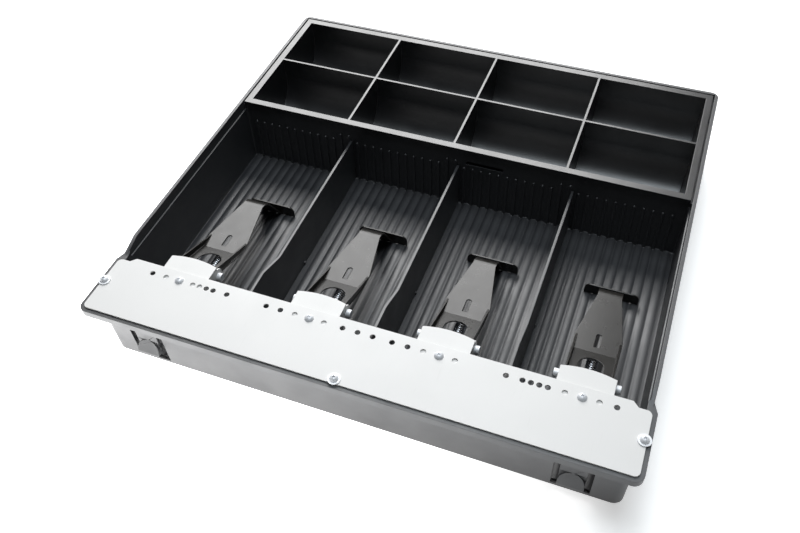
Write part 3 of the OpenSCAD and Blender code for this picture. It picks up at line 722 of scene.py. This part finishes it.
@dataclass
class PanScrew:
    """A pan head screw with a cross recess.

    Lengths are in metres, the turn in degrees. Tapers are the small end's share of the large
    one. The well is the cone where the recess's arms cross, sunk by a share of their depth.
    """

    head_d: float
    turn: float
    head_h: float = 2.2 * MM
    shank_d: float = 3.0 * MM
    shank_l: float = 6.5 * MM
    shank_taper: float = 0.8
    recess_l: float = 3.5 * MM
    recess_w: float = 0.85 * MM
    recess_depth: float = 1.25 * MM
    recess_taper: Pair = (0.35, 0.75)
    well_sink: float = 0.6
    well_sides: int = 24
    sides: int = 48
    edge: float = 0.08 * MM

    def _cut(self, head: bpy.types.Object, cutter: bpy.types.Object) -> None:
        """Cuts a cutter out of the head and removes the cutter.

        Args:
            head: The screw.
            cutter: What is cut out of it.
        """
        settle(cutter)
        cut = head.modifiers.new("recess", "BOOLEAN")
        cut.operation, cut.object, cut.solver = "DIFFERENCE", cutter, "EXACT"
        apply_all(head)
        bpy.data.objects.remove(cutter)

    def _cap(self, name: str) -> bpy.types.Object:
        """Models the domed head and its shank, with the head's underside at the origin.

        Args:
            name: The screw's name.

        Returns:
            The screw without its recess.
        """
        dome_r = ((self.head_d / 2) ** 2 + self.head_h ** 2) / (2 * self.head_h)
        bpy.ops.mesh.primitive_uv_sphere_add(segments=self.sides, ring_count=self.sides,
                                             radius=dome_r,
                                             location=(0, 0, self.head_h - dome_r))
        head = just_added(name)
        settle(head)
        with edit_mode(head):
            bpy.ops.mesh.bisect(plane_co=(0, 0, 0), plane_no=(0, 0, 1),
                                use_fill=True, clear_inner=True)
            pick_faces(head, lambda f: f.normal.z < -FACING)
            bpy.ops.mesh.inset(thickness=(self.head_d - self.shank_d) / 2)
            push((0, 0, -self.shank_l))
            bpy.ops.transform.resize(value=(self.shank_taper, self.shank_taper, 1),
                                     center_override=(0, 0, -self.shank_l))
        return head

    def build(self, name: str) -> bpy.types.Object:
        """Models one screw at the origin.

        Args:
            name: The screw's name.

        Returns:
            The screw, which rides on nothing yet.
        """
        head = self._cap(name)
        for quarter in (0, 90):
            bpy.ops.mesh.primitive_cube_add(
                size=1, location=(0, 0, self.head_h - self.recess_depth / 2))
            arm = bpy.context.active_object
            arm.scale = (self.recess_l, self.recess_w, self.recess_depth)
            settle(arm)
            with edit_mode(arm, "DESELECT"):
                pick_faces(arm, lambda f: f.normal.z < -FACING)
                bpy.ops.transform.resize(value=(*self.recess_taper, 1))
                pick_faces(arm, lambda f: f.normal.z > FACING)
                bpy.ops.transform.translate(value=(0, 0, self.recess_depth))
            arm.rotation_euler.z = math.radians(self.turn + quarter)
            self._cut(head, arm)
        well_z = self.head_h - self.well_sink * self.recess_depth
        bpy.ops.mesh.primitive_cone_add(vertices=self.well_sides, radius1=0,
                                        radius2=self.recess_w, depth=self.recess_depth,
                                        location=(0, 0, well_z))
        self._cut(head, bpy.context.active_object)
        round_edges(head, self.edge)
        return head


@dataclass
class PlateWasher:
    """A flat washer. Lengths are in metres."""

    outer_d: float = 8.4 * MM
    inner_d: float = 3.6 * MM
    thick: float = 0.8 * MM
    edge: float = 0.14 * MM
    sides: int = 48

    def build(self, name: str) -> bpy.types.Object:
        """Models one washer, its underside at the origin.

        Args:
            name: The washer's name.

        Returns:
            The washer, which rides on nothing yet.
        """
        bpy.ops.mesh.primitive_cylinder_add(vertices=self.sides, radius=self.outer_d / 2,
                                            depth=self.thick, location=(0, 0, self.thick / 2))
        washer = just_added(name)
        settle(washer)
        with edit_mode(washer, "DESELECT"):
            pick_faces(washer, lambda f: abs(f.normal.z) > FACING)
            bpy.ops.mesh.inset(thickness=(self.outer_d - self.inner_d) / 2)
            bpy.ops.mesh.bridge_edge_loops()
        round_edges(washer, self.edge)
        return washer


@dataclass
class Fasteners:
    """The bracket screws, plate screws and washers. Lengths are in metres."""

    plate_top: float = 57.7 * MM
    bracket_row: float = -137.25 * MM
    plate_xy: tuple[Pair, ...] = (
        (-183.7 * MM, -153.85 * MM), (-2.3 * MM, -175.25 * MM), (183.7 * MM, -153.85 * MM))
    bracket_screw: PanScrew = field(default_factory=lambda: PanScrew(head_d=6.4 * MM, turn=30.0))
    plate_screw: PanScrew = field(default_factory=lambda: PanScrew(head_d=6.0 * MM, turn=15.0))
    washer: PlateWasher = field(default_factory=PlateWasher)

    def _set_out(self, fastener: PanScrew | PlateWasher, places: list[Point], node: str,
                 finishes: Finishes) -> None:
        """Builds a fastener, copies it to each place, and dresses and seats the copies.

        Args:
            fastener: What is built.
            places: Where the copies go.
            node: The CAD node that they stand for, whose name ends with an s.
            finishes: The finishes to dress them with.
        """
        single = node[:-1]
        first = fastener.build(single)
        pieces = [first]
        for _ in places[1:]:
            make_active(first)
            bpy.ops.object.duplicate()
            pieces.append(bpy.context.active_object)
        for i, (piece, place) in enumerate(zip(pieces, places), start=1):
            piece.name = piece.data.name = f"{single}_{i}"
            piece.location = place
            settle(piece)
            finishes.dress(piece, Look.ZINC)
            seat(piece, "tray", node)

    def build(self, finishes: Finishes) -> None:
        """Builds every fastener.

        Args:
            finishes: The finishes to dress them with.
        """
        rows = [(x, self.bracket_row, self.plate_top) for x in CLIP_X]
        self._set_out(self.bracket_screw, rows, "bracket_screws", finishes)
        tops = [(x, y, self.plate_top + self.washer.thick) for x, y in self.plate_xy]
        self._set_out(self.plate_screw, tops, "plate_screws", finishes)
        beds = [(x, y, self.plate_top) for x, y in self.plate_xy]
        self._set_out(self.washer, beds, "plate_washers", finishes)


@dataclass
class ClipSpring:
    """An extension spring from a bracket's leg to a clip's tongue.

    Lengths are in metres, angles in degrees. The leg and the tongue are places in Y and Z, and
    the straight wire's points are shares of its length.
    """

    number: int
    x: float
    leg: Pair = (-145.75 * MM, 28.0 * MM)
    tongue: Pair = (-83.05 * MM, 30.63 * MM)
    outer_d: float = 8.0 * MM
    wire_d: float = 1.1 * MM
    curls: int = 16
    pitch: float = 1.72 * MM
    lead: float = 3.0 * MM
    straight: tuple[float, ...] = (0.0, 0.3, 0.6, 0.85)
    hook_r: float = 1.5 * MM
    hook_turn: int = 120
    hook_step: int = 15
    steps: int = 28
    wire_steps: int = 3
    smooth: float = 40.0

    def path(self) -> list[Vector]:
        """Lists the wire's points along the spring's own axis.

        Returns:
            The points from the leg's hook to the tongue's.
        """
        span = math.dist(self.leg, self.tongue)
        coil_r = (self.outer_d - self.wire_d) / 2
        turns = self.curls + 1
        first = span - self.lead - turns * self.pitch
        r = self.hook_r
        hook = [math.radians(a) for a in range(0, self.hook_turn + 1, self.hook_step)]
        points = [Vector((-r - r * math.sin(a), 0, r * (1 - math.cos(a))))
                  for a in reversed(hook)]
        points += [Vector((first * t, 0, 0)) for t in self.straight]
        count = turns * self.steps
        for i in range(count + 1):
            # Half a turn at each end winds from the axis out to the coil's radius.
            swell = min(1.0, 2 * i / self.steps, 2 * (count - i) / self.steps)
            reach = coil_r * swell * swell * (3 - 2 * swell)
            a = 2 * math.pi * i / self.steps
            along = first + self.pitch * i / self.steps
            points.append(Vector((along, reach * math.cos(a), reach * math.sin(a))))
        points += [Vector((span + r + r * math.sin(a), 0, r * (math.cos(a) - 1))) for a in hook]
        return points

    def build(self, finishes: Finishes) -> bpy.types.Object:
        """Winds the wire, and lays it between the bracket and the clip at rest.

        Args:
            finishes: The finishes to dress it with.

        Returns:
            The finished spring.
        """
        bpy.ops.curve.primitive_nurbs_path_add()
        wire = just_added(f"clip_spring_{self.number}_shown").data
        wire.splines.clear()
        points = self.path()
        line = wire.splines.new("POLY")
        line.points.add(len(points) - 1)
        rise = math.atan2(self.tongue[1] - self.leg[1], self.tongue[0] - self.leg[0])
        place = (Matrix.Translation((self.x, *self.leg)) @ Matrix.Rotation(rise, 4, "X")
                 @ Matrix.Rotation(math.pi / 2, 4, "Z"))
        for spot, point in zip(line.points, points):
            spot.co = (*(place @ point), 1.0)
        wire.bevel_depth, wire.bevel_resolution = self.wire_d / 2, self.wire_steps
        wire.use_fill_caps = True
        bpy.ops.object.convert(target="MESH")
        spring = bpy.context.active_object
        bpy.ops.object.shade_smooth_by_angle(angle=math.radians(self.smooth))
        finishes.dress(spring, Look.SPRING)
        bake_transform(spring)
        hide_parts(f"clip_spring_{self.number}")
        LOG.info("%s bends from tray to clip_%d", spring.name, self.number)
        return spring


@dataclass(frozen=True)
class Softbox:
    """A soft rectangular light. Lengths are in metres.

    It hangs at one point and faces another. The glow is the light that leaves each point of it.
    """

    name: str
    at: Point
    aim: Point
    size: Pair
    glow: float
    tint: Colour = (1.0, 1.0, 1.0)

    def hang(self) -> None:
        """Adds the light to the scene."""
        data = bpy.data.lights.new(self.name, "AREA")
        data.shape, data.size, data.size_y = "RECTANGLE", *self.size
        data.energy = self.glow * math.pi * self.size[0] * self.size[1]
        data.color = self.tint
        lamp = bpy.data.objects.new(self.name, data)
        lamp.location = self.at
        facing = Vector(self.aim) - Vector(self.at)
        lamp.rotation_euler = facing.to_track_quat("-Z", "Y").to_euler()
        bpy.context.scene.collection.objects.link(lamp)


@dataclass
class Studio:
    """Camera, pale floor and soft light.

    Lengths are in metres, the camera's turn in degrees, its lens and sensor in millimetres.
    """

    camera_at: Point = (0.14925, -0.42467, 0.4905)
    camera_turn: Point = (41.119, 1.731, 20.654)
    lens: float = 37.665
    sensor: float = 36.0
    sight: Pair = (0.01, 100.0)
    floor_half: float = 6.0
    floor_z: float = -0.2 * MM
    floor_colour: Colour = (0.9, 0.9, 0.89)
    floor_roughness: float = 0.7
    pool_at: Point = (-0.22, -0.3, 0.0)
    pool_reach: Pair = (0.06, 0.42)
    table_glow: Pair = (4.2, 0.5)
    room_glow: float = 0.05
    softboxes: tuple[Softbox, ...] = (
        Softbox("rear_softbox", at=(-0.56, 1.05, 1.05), aim=(-0.56, 0.0, 0.03),
                size=(1.3, 1.1), glow=7.5),
        Softbox("backdrop", at=(-0.85, 1.6, 0.25), aim=(-0.85, 0.0, 0.1),
                size=(1.7, 0.45), glow=3.2),
        Softbox("top_softbox", at=(0.1, -0.05, 1.25), aim=(0.0, 0.0, 0.0),
                size=(0.65, 0.65), glow=6.5, tint=(0.86, 0.94, 1.0)),
    )

    def camera(self) -> None:
        """Sets up the camera where the photograph was taken from."""
        data = bpy.data.cameras.new("camera")
        data.lens, data.sensor_width, data.sensor_fit = self.lens, self.sensor, "HORIZONTAL"
        data.clip_start, data.clip_end = self.sight
        camera = bpy.data.objects.new("camera", data)
        camera.location = self.camera_at
        camera.rotation_euler = [math.radians(a) for a in self.camera_turn]
        bpy.context.scene.collection.objects.link(camera)
        bpy.context.scene.camera = camera

    def floor(self) -> None:
        """Lays a pale light table, which glows more at the front left."""
        bpy.ops.mesh.primitive_plane_add(size=2 * self.floor_half, location=(0, 0, self.floor_z))
        floor = just_added("floor")
        made = bpy.data.materials.new("pale_floor")
        made.use_nodes = True
        board = NodeBoard(made.node_tree)
        place = board.add("ShaderNodeTexCoord").outputs["Object"]
        away = board.add("ShaderNodeVectorMath", {0: place, 1: self.pool_at},
                         operation="DISTANCE")
        fade = board.spread(away.outputs["Value"], *self.pool_reach)
        near, far = ((level, level, level, 1.0) for level in self.table_glow)
        glow = board.add("ShaderNodeMix", {"Factor": fade, "A": near, "B": far},
                         data_type="RGBA")
        shader = board.add("ShaderNodeBsdfPrincipled", {
            "Base Color": (*self.floor_colour, 1.0), "Roughness": self.floor_roughness,
            "Emission Color": glow.outputs["Result"], "Emission Strength": 1.0})
        board.add("ShaderNodeOutputMaterial", {"Surface": shader.outputs["BSDF"]})
        floor.data.materials.append(made)

    def world(self) -> None:
        """Fills the room with a faint even light."""
        world = bpy.data.worlds.new("room")
        world.use_nodes = True
        board = NodeBoard(world.node_tree)
        room = board.add("ShaderNodeBackground", {
            "Color": (1.0, 1.0, 1.0, 1.0), "Strength": self.room_glow})
        board.add("ShaderNodeOutputWorld", {"Surface": room.outputs[0]})
        bpy.context.scene.world = world

    def build(self) -> None:
        """Sets up the whole studio."""
        self.camera()
        self.floor()
        for softbox in self.softboxes:
            softbox.hang()
        self.world()
        bpy.context.scene.view_settings.view_transform = "Standard"


def main() -> None:
    """Builds the insert's pieces in order."""
    logging.basicConfig(level=logging.INFO, format="%(message)s")
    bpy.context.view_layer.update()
    Studio().build()
    finishes = Finishes()
    Mouldings().build(finishes)
    PressedSteel().build(finishes)
    for i, x in enumerate(CLIP_X, start=1):
        HingePin(f"hinge_pin_{i}").build(finishes)
        ClipSpring(i, x).build(finishes)
    Fasteners().build(finishes)


if __name__ == "__main__":
    main()
